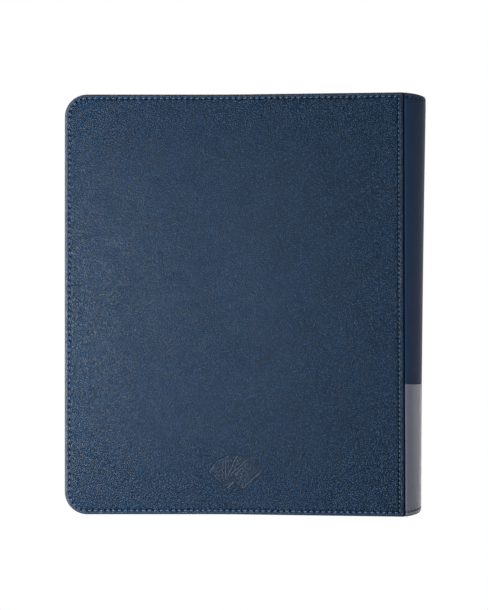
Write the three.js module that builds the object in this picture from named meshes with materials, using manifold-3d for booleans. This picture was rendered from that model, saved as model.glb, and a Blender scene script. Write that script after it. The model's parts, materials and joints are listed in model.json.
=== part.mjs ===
// Trading card binder: two padded covers on a rounded spine, with side-loading pocket leaves sewn inside.
// Millimetres, +Z up. It stands on its bottom edge, with the back cover facing -Y and the spine at +X.
// The origin is the centre of the bounding box at the bottom edge.
import * as THREE from 'three';
import { mergeVertices } from 'three/addons/utils/BufferGeometryUtils.js';
import Module from 'manifold-3d';

const wasm = await Module();
wasm.setup();

// Driving dimensions: the closed binder.
const HEIGHT = 315;
const WIDTH = 274;
const FORE_HALF_THICKNESS = 17.1; // from the middle plane to the outside of a cover, near the fore edge
const BOW = 6.9; // how much further out a cover stands beside the spine
const FORE_X = -WIDTH / 2;
const PANEL_EDGE_X = 116; // the spine side of both cover panels
const CORNER_RADIUS = 17;
const CORNER_SEGMENTS = 8;
const BOW_START_X = -32;
const BOW_END_X = 2;

// Cover layers, as depths from the outer surface.
const LAYER_GAP = 0.2;
const SKIN_THICKNESS = 1.0;
const RIM_WIDTH = 1.6; // the skin turned over the edge of the board
const PADDING_THICKNESS = 0.8;
const BOARD_THICKNESS = 1.6;
const LINING_THICKNESS = 0.5;
const PADDING_DEPTH = SKIN_THICKNESS + LAYER_GAP;
const BOARD_DEPTH = PADDING_DEPTH + PADDING_THICKNESS + LAYER_GAP;
const LINING_DEPTH = BOARD_DEPTH + BOARD_THICKNESS + LAYER_GAP;
const COVER_THICKNESS = LINING_DEPTH + LINING_THICKNESS;

// Stitching: a thread that lies in a shallow channel.
const STITCH_INSET = 3.3;
const THREAD_WIDTH = 0.7;
const CHANNEL_WIDTH = 1.2;
const CHANNEL_DEPTH = 0.45;
const THREAD_TOP = 0.05;
const THREAD_BOTTOM = 0.35;

// Spine: a rounded shell between the two creases.
const SPINE_START = { x: 118.6, y: 22.9 };
const SPINE_OUT_X = WIDTH / 2;
const SPINE_SEGMENTS = 24;
const SPINE_BOTTOM_BULGE = 0.8; // the bulge at the bottom edge, as a share of the bulge at the top
const WRAP_THICKNESS = 1.0;
const STIFFENER_THICKNESS = 1.4;
const SPINE_LINING_THICKNESS = 0.6;
const STIFFENER_SPINE_DEPTH = WRAP_THICKNESS + LAYER_GAP;
const SPINE_LINING_DEPTH = STIFFENER_SPINE_DEPTH + STIFFENER_THICKNESS + LAYER_GAP;
const INNER_START = 0.05; // the stiffener and the lining start this far along the spine's curve
const BAND_HEIGHT = 98;
const BAND_GAP = 0.3;

// Creases: the vertical lines that the covers turn about.
const CREASE = { x: 117.3, y: 21.75 };
const CREASE_STRIP_WIDTH = 1.8;
const CREASE_STRIP_THICKNESS = 0.9;
const CREASE_STRIP_INSET = 0.5;

// Leaves and their binding.
const LEAVES_PER_SIDE = 10;
const LEAF_PITCH = 1.22;
const LEAF_THICKNESS = 0.6;
const LEAF_WIDTH = 230;
const LEAF_HEIGHT = 300;
const LEAF_CORNER_RADIUS = 4;
const LEAF_CORNER_SEGMENTS = 3;
const LEAF_BOTTOM_Z = (HEIGHT - LEAF_HEIGHT) / 2;
const OUTER_LEAF_X = 103.4; // the root of the leaf next to a cover
const LEAF_STEP_X = 0.8; // each leaf further in has its root this much nearer the fore edge
const ROOT_GAP = 0.5;
const FLANGE_END_X = 111;
const FLANGE_HALF = LEAVES_PER_SIDE * LEAF_PITCH + 0.3;
const TAPE_THICKNESS = 0.8;
const TAPE_GAP = 0.3;
const TAPE_START_X = 105;
const TAPE_WING_X = 120.8;
const TAPE_WING_HALF = 17.6;
const BINDING_STITCH_X = 108;

const NAVY_PEBBLED = new THREE.MeshStandardMaterial({ color: 0x33475f, roughness: 0.62, metalness: 0 });
const NAVY_SMOOTH = new THREE.MeshStandardMaterial({ color: 0x25334a, roughness: 0.5, metalness: 0 });
const GREY_SMOOTH = new THREE.MeshStandardMaterial({ color: 0x5f616f, roughness: 0.45, metalness: 0 });
const BLUE_THREAD = new THREE.MeshStandardMaterial({ color: 0x4a6488, roughness: 0.7, metalness: 0 });
const DARK_THREAD = new THREE.MeshStandardMaterial({ color: 0x23242c, roughness: 0.7, metalness: 0 });
const FOAM = new THREE.MeshStandardMaterial({ color: 0xc9c7be, roughness: 0.95, metalness: 0 });
const GREYBOARD = new THREE.MeshStandardMaterial({ color: 0x8b8880, roughness: 0.9, metalness: 0 });
const BLACK_CLOTH = new THREE.MeshStandardMaterial({ color: 0x17181b, roughness: 0.95, metalness: 0 });
const BLACK_PLASTIC = new THREE.MeshStandardMaterial({ color: 0x1b1c1f, roughness: 0.4, metalness: 0 });

const binder = new THREE.Group();

function addMesh(name, geometry, material) {
  const mesh = new THREE.Mesh(geometry, material);
  mesh.name = name;
  binder.add(mesh);
  return mesh;
}

// A closed geometry as a manifold solid.
function toSolid(geometry) {
  const bare = geometry.clone();
  bare.deleteAttribute('normal');
  bare.deleteAttribute('uv');
  const merged = mergeVertices(bare, 1e-4);
  const vertProperties = new Float32Array(merged.attributes.position.array);
  const triVerts = new Uint32Array(merged.index.array);
  return new wasm.Manifold(new wasm.Mesh({ numProp: 3, vertProperties, triVerts }));
}

function toGeometry(solid) {
  const mesh = solid.getMesh();
  const geometry = new THREE.BufferGeometry();
  geometry.setAttribute('position', new THREE.BufferAttribute(new Float32Array(mesh.vertProperties), 3));
  geometry.setIndex(Array.from(mesh.triVerts));
  return geometry;
}

// The same piece on the other side of the middle plane.
function mirrorY(geometry) {
  const mirrored = geometry.index ? geometry.toNonIndexed() : geometry.clone();
  const place = mirrored.attributes.position;
  for (let corner = 0; corner < place.count; corner += 3) {
    const second = new THREE.Vector3().fromBufferAttribute(place, corner + 1);
    const third = new THREE.Vector3().fromBufferAttribute(place, corner + 2);
    place.setXYZ(corner + 1, third.x, third.y, third.z);
    place.setXYZ(corner + 2, second.x, second.y, second.z);
  }
  for (let corner = 0; corner < place.count; corner += 1) {
    place.setY(corner, -place.getY(corner));
  }
  return mirrored;
}

// A flat outline in X and Y, extruded along Z.
function upright(points, lowZ, highZ) {
  const outline = new THREE.Shape(points.map(([x, y]) => new THREE.Vector2(x, y)));
  const geometry = new THREE.ExtrudeGeometry(outline, { depth: highZ - lowZ, bevelEnabled: false });
  geometry.translate(0, 0, lowZ);
  return geometry;
}

// A flat outline in X and Z, extruded along Y.
function edgewise(outline, lowY, highY, curveSegments) {
  const options = { depth: highY - lowY, bevelEnabled: false, curveSegments };
  const geometry = new THREE.ExtrudeGeometry(outline, options);
  geometry.rotateX(Math.PI / 2);
  geometry.translate(0, highY, 0);
  return geometry;
}

// ---- Covers ----

// How far out a cover stands at x: flat near the fore edge, then a soft start and a straight slope.
function bowAt(x) {
  const slope = BOW / (PANEL_EDGE_X - (BOW_START_X + BOW_END_X) / 2);
  if (x <= BOW_START_X) return 0;
  if (x < BOW_END_X) return (slope * (x - BOW_START_X) ** 2) / (2 * (BOW_END_X - BOW_START_X));
  return slope * (x - (BOW_START_X + BOW_END_X) / 2);
}

// The panel's outline, moved in from its edge: round corners at the fore edge, square ones at the spine.
function panelOutline(inset) {
  const left = FORE_X + inset;
  const right = PANEL_EDGE_X - inset;
  const low = inset;
  const high = HEIGHT - inset;
  const radius = CORNER_RADIUS - inset;
  const outline = new THREE.Shape();
  outline.moveTo(right, low);
  outline.lineTo(right, high);
  outline.lineTo(left + radius, high);
  outline.absarc(left + radius, high - radius, radius, Math.PI / 2, Math.PI, false);
  outline.lineTo(left, low + radius);
  outline.absarc(left + radius, low + radius, radius, Math.PI, Math.PI * 1.5, false);
  outline.closePath();
  return outline;
}

// A bowed layer of the back cover between two depths, cut to the panel's outline.
function coverLayer(inset, depth, thickness) {
  const margin = 1;
  const steps = 4;
  const stations = [FORE_X - margin];
  for (let step = 0; step <= steps; step += 1) {
    stations.push(BOW_START_X + ((BOW_END_X - BOW_START_X) * step) / steps);
  }
  stations.push(PANEL_EDGE_X + margin);
  const outside = stations.map((x) => [x, depth - FORE_HALF_THICKNESS - bowAt(x)]);
  const inside = outside.map(([x, y]) => [x, y + thickness]).reverse();
  const bowed = toSolid(upright([...outside, ...inside], -margin, HEIGHT + margin));
  const reach = FORE_HALF_THICKNESS + BOW + COVER_THICKNESS;
  return bowed.intersect(toSolid(edgewise(panelOutline(inset), -reach, reach, CORNER_SEGMENTS)));
}

// A closed run along the stitch line, between two depths.
function stitchRun(width, depth, thickness) {
  const whole = coverLayer(STITCH_INSET - width / 2, depth, thickness);
  const middle = coverLayer(STITCH_INSET + width / 2, depth - 1, thickness + 2);
  return whole.subtract(middle);
}

// The outer skin: a shallow tray whose rim is the leather turned over the edge.
function coverSkin() {
  const block = coverLayer(0, 0, COVER_THICKNESS);
  const hollow = coverLayer(RIM_WIDTH, SKIN_THICKNESS, COVER_THICKNESS);
  const channel = stitchRun(CHANNEL_WIDTH, -1, CHANNEL_DEPTH + 1);
  return block.subtract(hollow).subtract(channel);
}

function buildCovers() {
  const inset = RIM_WIDTH + LAYER_GAP;
  const pieces = [
    ['skin', coverSkin(), NAVY_PEBBLED],
    ['padding', coverLayer(inset, PADDING_DEPTH, PADDING_THICKNESS), FOAM],
    ['board', coverLayer(inset, BOARD_DEPTH, BOARD_THICKNESS), GREYBOARD],
    ['lining', coverLayer(inset, LINING_DEPTH, LINING_THICKNESS), BLACK_CLOTH],
    ['thread', stitchRun(THREAD_WIDTH, THREAD_TOP, THREAD_BOTTOM - THREAD_TOP), BLUE_THREAD],
  ];
  for (const [name, solid, material] of pieces) {
    const geometry = toGeometry(solid);
    addMesh(`back_cover_${name}`, geometry, material);
    addMesh(`front_cover_${name}`, mirrorY(geometry), material);
  }
}

// ---- Spine ----

// Half of the spine's outer curve in X and Y, from a crease to the point furthest out.
const SPINE_HALF = new THREE.CubicBezierCurve(
  new THREE.Vector2(SPINE_START.x, -SPINE_START.y),
  new THREE.Vector2(SPINE_START.x + 7.6, -SPINE_START.y + 2.3),
  new THREE.Vector2(SPINE_OUT_X - 0.2, -12),
  new THREE.Vector2(SPINE_OUT_X, 0),
);

// The spine's curve at a depth below its surface, as points; along runs from 0 to 1, crease to crease.
function spineLine(depth, start) {
  const points = [];
  for (let step = 0; step <= SPINE_SEGMENTS; step += 1) {
    const along = start + ((1 - 2 * start) * step) / SPINE_SEGMENTS;
    const side = along <= 0.5 ? 1 : -1;
    const share = along <= 0.5 ? along * 2 : (1 - along) * 2;
    const point = SPINE_HALF.getPoint(share);
    const tangent = SPINE_HALF.getTangent(share);
    points.push([point.x - tangent.y * depth, side * (point.y + tangent.x * depth)]);
  }
  return points;
}

// The bulge is smaller towards the bottom edge.
function taper(geometry) {
  const place = geometry.attributes.position;
  for (let corner = 0; corner < place.count; corner += 1) {
    const beyond = place.getX(corner) - SPINE_START.x;
    const share = SPINE_BOTTOM_BULGE + (1 - SPINE_BOTTOM_BULGE) * (place.getZ(corner) / HEIGHT);
    if (beyond > 0) place.setX(corner, SPINE_START.x + beyond * share);
  }
  return geometry;
}

function spineShell(depth, thickness, start, lowZ, highZ) {
  const inside = spineLine(depth + thickness, start).reverse();
  return toSolid(upright([...spineLine(depth, start), ...inside], lowZ, highZ));
}

// A strip of the spine's surface with a stitched hem, and the thread in the hem's channel.
function addHemmedStrip(name, threadName, material, thread, lowZ, highZ, hemZ) {
  const strip = spineShell(0, WRAP_THICKNESS, 0, lowZ, highZ);
  const half = CHANNEL_WIDTH / 2;
  const channel = spineShell(-1, CHANNEL_DEPTH + 1, INNER_START / 2, hemZ - half, hemZ + half);
  const run = spineShell(
    THREAD_TOP,
    THREAD_BOTTOM - THREAD_TOP,
    INNER_START,
    hemZ - THREAD_WIDTH / 2,
    hemZ + THREAD_WIDTH / 2,
  );
  addMesh(name, taper(toGeometry(strip.subtract(channel))), material);
  addMesh(threadName, taper(toGeometry(run)), thread);
}

function buildSpine() {
  const topHemZ = HEIGHT - STITCH_INSET;
  addHemmedStrip('spine_wrap', 'spine_top_thread', NAVY_SMOOTH, BLUE_THREAD, BAND_HEIGHT, HEIGHT, topHemZ);
  const bandTop = BAND_HEIGHT - BAND_GAP;
  addHemmedStrip('spine_band', 'spine_bottom_thread', GREY_SMOOTH, DARK_THREAD, 0, bandTop, STITCH_INSET);
  const low = RIM_WIDTH;
  const high = HEIGHT - RIM_WIDTH;
  const stiffener = spineShell(STIFFENER_SPINE_DEPTH, STIFFENER_THICKNESS, INNER_START, low, high);
  addMesh('spine_stiffener', taper(toGeometry(stiffener)), BLACK_PLASTIC);
  const lining = spineShell(SPINE_LINING_DEPTH, SPINE_LINING_THICKNESS, INNER_START, low, high);
  addMesh('spine_lining', taper(toGeometry(lining)), BLACK_CLOTH);
}

// The flexible strip on each crease line.
function buildCreases() {
  const height = HEIGHT - 2 * CREASE_STRIP_INSET;
  for (const [name, side] of [['back_crease_strip', -1], ['front_crease_strip', 1]]) {
    const strip = new THREE.BoxGeometry(CREASE_STRIP_WIDTH, CREASE_STRIP_THICKNESS, height);
    addMesh(name, strip, NAVY_SMOOTH).position.set(CREASE.x, side * CREASE.y, HEIGHT / 2);
  }
}

// ---- Binding ----

// The leaves' stacked flanges. The ridge towards the leaves lets all of them turn flat, one on another.
function buildFlangeBlock() {
  const edgeX = OUTER_LEAF_X + ROOT_GAP + LEAF_STEP_X / 2;
  const ridgeX = edgeX - LEAVES_PER_SIDE * LEAF_STEP_X;
  const outline = [
    [FLANGE_END_X, -FLANGE_HALF],
    [FLANGE_END_X, FLANGE_HALF],
    [edgeX, FLANGE_HALF],
    [ridgeX, 0],
    [edgeX, -FLANGE_HALF],
  ];
  addMesh('page_flange_block', upright(outline, LEAF_BOTTOM_Z, LEAF_BOTTOM_Z + LEAF_HEIGHT), BLACK_PLASTIC);
}

// The tape: a channel round the flange block, with a wing on each side that reaches the spine lining.
function buildBindingTape() {
  const inner = FLANGE_HALF + TAPE_GAP;
  const outer = inner + TAPE_THICKNESS;
  const baseX = FLANGE_END_X + TAPE_GAP;
  const half = [
    [baseX, inner],
    [TAPE_START_X, inner],
    [TAPE_START_X, outer],
    [baseX - TAPE_THICKNESS / 2, outer],
    [TAPE_WING_X, TAPE_WING_HALF],
    [TAPE_WING_X + TAPE_THICKNESS / 3, TAPE_WING_HALF - TAPE_THICKNESS],
    [baseX + TAPE_THICKNESS, outer - TAPE_THICKNESS / 4],
  ];
  const mirrored = half.map(([x, y]) => [x, -y]).reverse();
  const tape = upright([...half, ...mirrored], LEAF_BOTTOM_Z, LEAF_BOTTOM_Z + LEAF_HEIGHT);
  addMesh('page_binding_tape', taper(tape), BLACK_CLOTH);
  for (const [name, side] of [['back_binding_thread', -1], ['front_binding_thread', 1]]) {
    const length = LEAF_HEIGHT - 2 * STITCH_INSET;
    const thread = new THREE.BoxGeometry(THREAD_WIDTH, THREAD_WIDTH / 2, length);
    const away = outer + THREAD_WIDTH / 4 + LAYER_GAP;
    addMesh(name, thread, DARK_THREAD).position.set(BINDING_STITCH_X, side * away, HEIGHT / 2);
  }
}

// ---- Leaves ----

function leafOutline() {
  const radius = LEAF_CORNER_RADIUS;
  const outline = new THREE.Shape();
  outline.moveTo(0, 0);
  outline.lineTo(0, LEAF_HEIGHT);
  outline.lineTo(radius - LEAF_WIDTH, LEAF_HEIGHT);
  outline.absarc(radius - LEAF_WIDTH, LEAF_HEIGHT - radius, radius, Math.PI / 2, Math.PI, false);
  outline.lineTo(-LEAF_WIDTH, radius);
  outline.absarc(radius - LEAF_WIDTH, radius, radius, Math.PI, Math.PI * 1.5, false);
  outline.closePath();
  return outline;
}

// Leaf 1 lies next to the back cover and leaf 20 next to the front cover.
function buildLeaves() {
  const count = LEAVES_PER_SIDE * 2;
  for (let index = 0; index < count; index += 1) {
    const offset = (index - (count - 1) / 2) * LEAF_PITCH;
    const fromCover = Math.min(index, count - 1 - index);
    const rootX = OUTER_LEAF_X - fromCover * LEAF_STEP_X;
    const half = LEAF_THICKNESS / 2;
    const leaf = edgewise(leafOutline(), -half, half, LEAF_CORNER_SEGMENTS);
    const name = `leaf_${String(index + 1).padStart(2, '0')}`;
    addMesh(name, leaf, BLACK_PLASTIC).position.set(rootX, offset, LEAF_BOTTOM_Z);
  }
}

buildCovers();
buildSpine();
buildCreases();
buildFlangeBlock();
buildBindingTape();
buildLeaves();

export default binder;
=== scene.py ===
"""Trading card binder: its visible surfaces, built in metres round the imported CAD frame."""

import json
import math

import bmesh
import bpy
import numpy as np
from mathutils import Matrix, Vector
from mathutils.geometry import delaunay_2d_cdt


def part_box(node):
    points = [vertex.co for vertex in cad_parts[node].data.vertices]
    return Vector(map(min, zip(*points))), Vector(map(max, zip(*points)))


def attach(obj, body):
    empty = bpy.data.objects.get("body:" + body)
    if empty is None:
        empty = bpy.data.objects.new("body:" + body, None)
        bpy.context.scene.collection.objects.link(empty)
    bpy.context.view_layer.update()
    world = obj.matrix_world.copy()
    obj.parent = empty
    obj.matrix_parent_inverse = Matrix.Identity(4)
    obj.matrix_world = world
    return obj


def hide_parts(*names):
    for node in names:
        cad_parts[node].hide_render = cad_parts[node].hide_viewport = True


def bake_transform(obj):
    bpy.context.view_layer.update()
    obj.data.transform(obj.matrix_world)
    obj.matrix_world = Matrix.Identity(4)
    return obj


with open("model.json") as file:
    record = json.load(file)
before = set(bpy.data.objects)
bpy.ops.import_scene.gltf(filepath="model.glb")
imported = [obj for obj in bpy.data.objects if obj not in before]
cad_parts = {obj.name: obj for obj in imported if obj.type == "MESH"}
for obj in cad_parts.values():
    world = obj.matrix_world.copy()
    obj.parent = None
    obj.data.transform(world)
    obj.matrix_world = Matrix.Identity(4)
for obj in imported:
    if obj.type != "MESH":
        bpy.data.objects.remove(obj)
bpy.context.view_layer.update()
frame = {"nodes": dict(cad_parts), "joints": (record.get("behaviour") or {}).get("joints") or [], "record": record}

MM = 0.001
BACK = -1
FRONT = 1
SIDES = {"back": BACK, "front": FRONT}

# ---- Sizes that come from the frame ----

joints = {joint["name"]: joint for joint in frame["joints"]}
mounts = {mount["name"]: mount for mount in frame["record"]["mounts"]}
skin_low, skin_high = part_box("back_cover_skin")
wrap_low, wrap_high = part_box("spine_wrap")
band_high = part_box("spine_band")[1]

FORE_X = skin_low.x
PANEL_X = skin_high.x
HEIGHT = skin_high.z
FLAT_Y = -mounts["back_face"]["pos_m"][1]
BOW = -skin_low.y - FLAT_Y
CREASE_X = joints["back_cover_hinge"]["pos_m"][0]
CREASE_Y = -joints["back_cover_hinge"]["pos_m"][1]
SPINE_OUT_X = wrap_high.x
SPINE_START_Y = wrap_high.y

# ---- Sizes of the cover ----

BOW_START_X = -32 * MM
BOW_END_X = 2 * MM
CORNER_RADIUS = 17 * MM
COVER_THICKNESS = 4.3 * MM
COVER_Y = FLAT_Y + BOW  # the cover's outer surface beside the crease
LEAN_LOW = 0.15 * MM  # how far the crease is moved away from the fore edge at the bottom
LEAN_HIGH = -0.6 * MM  # and at the top, where it is moved towards it
LEAN_START_X = -20 * MM
SWELL = 0.12 * MM  # how far the leather stands out over the foam
SWELL_START = 5 * MM  # from the edge of the cover
SWELL_END = 40 * MM
SWELL_WAVE = 0.05 * MM
# (strength, radians per metre along x and along z, phase)
SWELL_WAVES = ((1.0, 95, 31, 0.7), (1.0, -40, 78, 2.1), (0.6, 171, 140, 0.0))

# ---- Sizes of the stitching ----

STITCH_INSET = 3.3 * MM
FORE_LIP = 0.9 * MM  # the stitches run this much further in along the fore edge
LIP_START = 1.9 * MM
LIP_WIDTH = 3 * MM
EDGE_PITCH = 4.5 * MM
SPINE_SIDE_PITCH = 3.4 * MM
SAMPLES_PER_STITCH = 6
THREAD_RADIUS = 0.4 * MM
PIT_DARKENING = 1.4  # painted shade in a needle hole, for each millimetre that it is deep

# ---- Sizes of the spine ----

JOIN_RAISE = 0.5 * MM  # the join between wrap and band is this far above the middle of the CAD gap
BAND_TOP = (band_high.z + wrap_low.z) / 2 + JOIN_RAISE
SPINE_START_X = CREASE_X + 0.45 * MM
BULGE_SHARE = 0.8  # the bulge at the bottom, as a share of the bulge at the top
BULGE_POWER = 1.5
SPINE_STITCHES = 17
SPINE_STITCH_RADIUS = 0.33 * MM
SPINE_STITCH_SHARE = 0.7  # of the pitch
SPINE_STITCH_DEPTH = 0.3  # in millimetres
CURL_THICKNESS = 0.4 * MM  # pieces of the spine are no deeper than this where they curl into a crease
CURL_LENGTH = 1.5 * MM
CURL_GROWTH = 1.2
LINING_START = 0.07  # the spine's lining starts this far round the spine, as a share
JOIN_DIP = 2.1 * MM  # the join between wrap and band is this much lower in the middle of the spine
JOIN_ROUNDING = 4 * MM  # half the width over which the middle of that dip is rounded
DIP_WHOLE = 8 * MM  # from the join, to where the dip starts to ease off
DIP_GONE = 40 * MM


def smoothstep(value, low, high):
    share = np.clip((value - low) / (high - low), 0.0, 1.0)
    return share * share * (3.0 - 2.0 * share)


# ---- Meshes ----


def add_object(name, data, location=(0, 0, 0)):
    added = bpy.data.objects.new(name, data)
    added.location = location
    bpy.context.scene.collection.objects.link(added)
    return added


def add_mesh(name, points, faces, material, sharp_angle=50.0, **attributes):
    """A closed mesh object with its normals facing out and a float attribute for each keyword."""
    mesh = bpy.data.meshes.new(name)
    mesh.from_pydata(np.asarray(points, float).tolist(), [], [list(map(int, face)) for face in faces])
    for key, values in attributes.items():
        attribute = mesh.attributes.new(key, "FLOAT", "POINT")
        attribute.data.foreach_set("value", np.asarray(values, np.float32))
    work = bmesh.new()
    work.from_mesh(mesh)
    bmesh.ops.recalc_face_normals(work, faces=work.faces)
    work.to_mesh(mesh)
    work.free()
    mesh.polygons.foreach_set("use_smooth", [True] * len(mesh.polygons))
    mesh.set_sharp_from_angle(angle=math.radians(sharp_angle))
    mesh.materials.append(material)
    return add_object(name, mesh)


def loop_faces(ring_count, ring_size, closed=True):
    """Quads between rings of points that follow one another."""
    faces = []
    steps = ring_size if closed else ring_size - 1
    for ring in range(ring_count - 1):
        here = ring * ring_size
        there = here + ring_size
        for step in range(steps):
            after = (step + 1) % ring_size
            faces.append((here + step, here + after, there + after, there + step))
    return faces


def tube_faces(ring_count, ring_size):
    """The quads between rings, and a cap on the first ring and on the last."""
    caps = [range(ring_size), reversed(range((ring_count - 1) * ring_size, ring_count * ring_size))]
    return loop_faces(ring_count, ring_size) + [list(cap) for cap in caps]


def shifted(faces, start):
    """The same faces for points that begin at start."""
    return [[start + corner for corner in face] for face in faces]


def settle(piece, body, slot, *nodes):
    """The piece rides on a body and stands for the CAD nodes named, which it hides; slot is not used."""
    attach(piece, body)
    if nodes:
        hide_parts(*nodes)


# ---- Materials ----


class Shader:
    """A node material, with short calls for the nodes that it needs."""

    def __init__(self, name, roughness, specular=0.5):
        self.material = bpy.data.materials.new(name)
        self.material.use_nodes = True
        self.tree = self.material.node_tree
        self.surface = self.tree.nodes["Principled BSDF"]
        self.set(Roughness=roughness, Specular_IOR_Level=specular)
        self.place = self.node("ShaderNodeTexCoord").outputs["Object"]

    def set(self, node=None, **inputs):
        """Give sockets of a node, or of the surface shader itself, a value or a link."""
        for key, value in inputs.items():
            self.feed((node or self.surface).inputs[key.replace("_", " ")], value)
        return node

    def node(self, kind, *values, **named):
        """A node. Names in lower case are its settings, and other names its sockets."""
        added = self.tree.nodes.new(kind)
        for key in [key for key in named if key.islower()]:
            setattr(added, key, named.pop(key))
        for index, value in enumerate(values):
            self.feed(added.inputs[index], value)
        return self.set(added, **named)

    def feed(self, socket, value):
        if isinstance(value, bpy.types.NodeSocket):
            self.tree.links.new(value, socket)
        elif socket.type == "RGBA":
            socket.default_value = (*value, 1.0)
        else:
            socket.default_value = value

    def noise(self, size, detail=2.0, output="Fac"):
        made = self.node("ShaderNodeTexNoise", Vector=self.place, Scale=1 / size, Detail=detail)
        return made.outputs[output]

    def cells(self, size, place, smoothness):
        made = self.node("ShaderNodeTexVoronoi", feature="SMOOTH_F1", Vector=place, Scale=1 / size)
        return self.set(made, Smoothness=smoothness).outputs["Distance"]

    def bands(self, size, direction):
        made = self.node("ShaderNodeTexWave", bands_direction=direction, Vector=self.place, Scale=1 / size)
        return made.outputs["Fac"]

    def painted(self, name):
        return self.node("ShaderNodeAttribute", attribute_name=name).outputs["Fac"]

    def math(self, operation, first, second=0.0):
        return self.node("ShaderNodeMath", first, second, operation=operation).outputs[0]

    def remap(self, value, low, high, to_low=0.0, to_high=1.0):
        numbers = (value, low, high, to_low, to_high)
        return self.node("ShaderNodeMapRange", *numbers, interpolation_type="SMOOTHSTEP").outputs["Result"]

    def mix(self, share, first, second):
        made = self.node("ShaderNodeMix", data_type="RGBA", Factor=share)
        self.feed(made.inputs[6], first)
        self.feed(made.inputs[7], second)
        return made.outputs[2]

    def warped(self, size, amount):
        """Coordinates pushed about by noise, so that a pattern isn't even."""
        values = (self.noise(size, 1.0, "Color"), (amount, amount, amount), self.place)
        return self.node("ShaderNodeVectorMath", *values, operation="MULTIPLY_ADD").outputs[0]

    def bump(self, height, depth):
        made = self.node("ShaderNodeBump", Height=height, Distance=depth, Strength=1.0)
        self.set(Normal=made.outputs["Normal"])


MOTTLE_SIZE = 30 * MM
MOTTLE_SHARE = 0.08
PATCH_SIZE = 5 * MM  # patches of leather that are a little more or less rough
PATCH_ROUGHNESS = 0.02
# Worn edges take this greyer colour, and so does the painted highlight where the fore edge rounds over towards the
# key light.
WORN_AND_LIT_BLUE = (0.07, 0.09, 0.13)


def scaled(base, factor, lift=0.0):
    """A colour made darker or lighter, and then greyer by a lift."""
    return tuple(channel * factor + lift for channel in base)


def leather(name, base, cell, depth, roughness, specular, glint_contrast, worn_and_lit=WORN_AND_LIT_BLUE):
    """Imitation leather: fine pebbles with a painted highlight on their tops and painted shade between them, a
    little unevenness, edges with wear and a painted highlight, and painted shade in needle pits.
    """
    shader = Shader(name, roughness, specular)
    place = shader.warped(cell * 2.0, cell * 0.5)
    pebbles = shader.cells(cell, place, 0.15)
    grit = shader.noise(cell * 0.4, 1.0)
    domes = shader.remap(pebbles, 0.1, 0.7, 1.0, 0.0)
    height = shader.math("ADD", domes, shader.math("MULTIPLY", grit, 0.5))
    pressed = shader.painted("press")
    flattened = shader.remap(pressed, 0.0, 1.0, 1.0, 0.25)
    shader.bump(shader.math("MULTIPLY", height, flattened), depth)
    # Painted light: the pebbles' tops are made lighter as a painted highlight, and the hollows between them darker
    # as painted shade.
    dark = scaled(base, 1 - 0.5 * glint_contrast)
    light = scaled(base, 1 + 1.4 * glint_contrast, 0.04 * glint_contrast)
    tops = shader.remap(pebbles, 0.12, 0.36, 1.0, 0.0)
    painted_glints = shader.math("MULTIPLY", tops, shader.remap(grit, 0.32, 0.52))
    tone = shader.mix(painted_glints, dark, light)
    mottle = shader.remap(shader.noise(MOTTLE_SIZE, 2.0), 0.4, 0.7)
    tone = shader.mix(shader.math("MULTIPLY", mottle, MOTTLE_SHARE), tone, base)
    # Edges are made greyer and lighter, partly as real wear and partly as a painted highlight on rounded edges
    # that face the light.
    rubbed_and_lit = shader.math("MULTIPLY", shader.painted("wear"), shader.remap(grit, 0.25, 0.6, 0.55, 1.0))
    tone = shader.mix(rubbed_and_lit, tone, worn_and_lit)
    dull = scaled(base, 0.25, sum(base) * 0.124)
    tone = shader.mix(shader.math("MULTIPLY", pressed, 0.6), tone, dull)
    # Painted shade in the needle holes, darker where they are deeper.
    tone = shader.mix(shader.painted("pit"), tone, scaled(base, 0.1))
    patches = shader.noise(PATCH_SIZE, 2.0)
    gloss = shader.remap(patches, 0.3, 0.7, roughness - PATCH_ROUGHNESS, roughness + PATCH_ROUGHNESS)
    shader.set(Base_Color=tone, Roughness=gloss)
    return shader.material


FIBRE = 0.12 * MM  # the size of the thread's fibres, and how deep its plies are


def thread(name, base):
    """Twisted sewing thread: the plies are bumps in slanting stripes, with painted shade in the grooves between
    them.
    """
    shader = Shader(name, 0.55, 0.35)
    turn = shader.math("SINE", shader.math("MULTIPLY", shader.painted("twist"), math.tau))
    plies = shader.remap(turn, -1.0, 1.0)
    fuzz = shader.noise(FIBRE, 2.0)
    shader.bump(shader.math("ADD", plies, shader.math("MULTIPLY", fuzz, 0.4)), FIBRE)
    # Painted shade: the grooves between the plies are darker.
    tone = shader.mix(plies, scaled(base, 0.45), base)
    tone = shader.mix(shader.math("MULTIPLY", fuzz, 0.25), tone, scaled(base, 1.5))
    shader.set(Base_Color=tone, Sheen_Weight=0.15)
    return shader.material


FADING_SIZE = 22 * MM


def woven(name, base, pitch, across="X", along="Z"):
    """Plain weave: two sets of yarns that pass over and under each other."""
    shader = Shader(name, 0.85, 0.2)
    warp = shader.bands(pitch, across)
    weft = shader.bands(pitch, along)
    height = shader.math("MAXIMUM", warp, weft)
    fuzz = shader.noise(pitch * 0.6, 2.0)
    shader.bump(shader.math("ADD", height, shader.math("MULTIPLY", fuzz, 0.5)), pitch * 0.25)
    # Painted shade: darker in the gaps where neither set of yarns is raised.
    tone = shader.mix(shader.remap(height, 0.2, 0.95), scaled(base, 0.4), base)
    faded = shader.remap(shader.noise(FADING_SIZE, 3.0), 0.4, 0.75, 0.0, 0.5)
    shader.set(Base_Color=shader.mix(faded, tone, scaled(base, 1.5)), Sheen_Weight=0.1)
    return shader.material


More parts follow.
